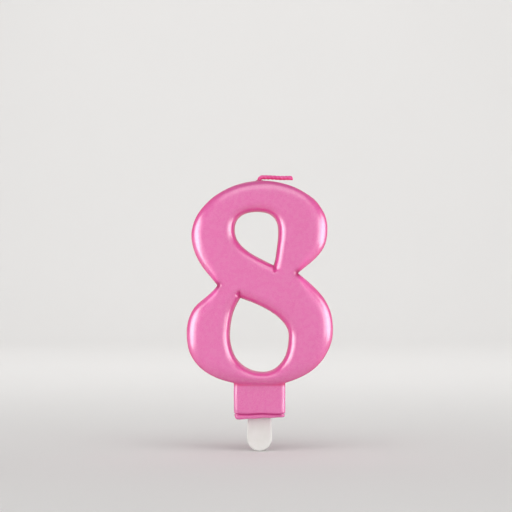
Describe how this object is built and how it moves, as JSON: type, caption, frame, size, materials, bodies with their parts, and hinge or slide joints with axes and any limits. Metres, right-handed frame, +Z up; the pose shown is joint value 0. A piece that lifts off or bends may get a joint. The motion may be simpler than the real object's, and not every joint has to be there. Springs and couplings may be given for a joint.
{
  "type": "number birthday candle",
  "caption": "Moulded wax cake-topper candle in the shape of a rounded numeral 8 on a short block, with a folded cotton wick and a flat plastic holder pick.",
  "frame": {"origin": "middle of the plinth's underside, where the candle rests on the icing and the holder pick goes down into the cake", "axes": "+Z up along the numeral, +X to the right across its front, and the front face looks along -Y"},
  "size_m": [0.0538, 0.014, 0.102],
  "materials": {
    "wax": "wax with a pink pearl lacquer",
    "wick": "plaited cotton stiff with pink wax",
    "holder": "satin white moulded plastic"
  },
  "bodies": {
    "holder": {"holder_pick": "holder"},
    "candle": {"wax_numeral": "wax", "wick_core": "wick"},
    "wick_tip": {"wick_tip": "wick"}
  },
  "joints": [
    {"name": "candle_lift", "type": "slide", "parent": "holder", "child": "candle", "axis": [0, 0, 1], "range_m": [0, 0.02]},
    {"name": "wick_bend", "type": "hinge", "parent": "candle", "child": "wick_tip", "pos_m": [0, 0, 0.0889], "axis": [0, -1, 0], "range_deg": [0, 88]}
  ]
}
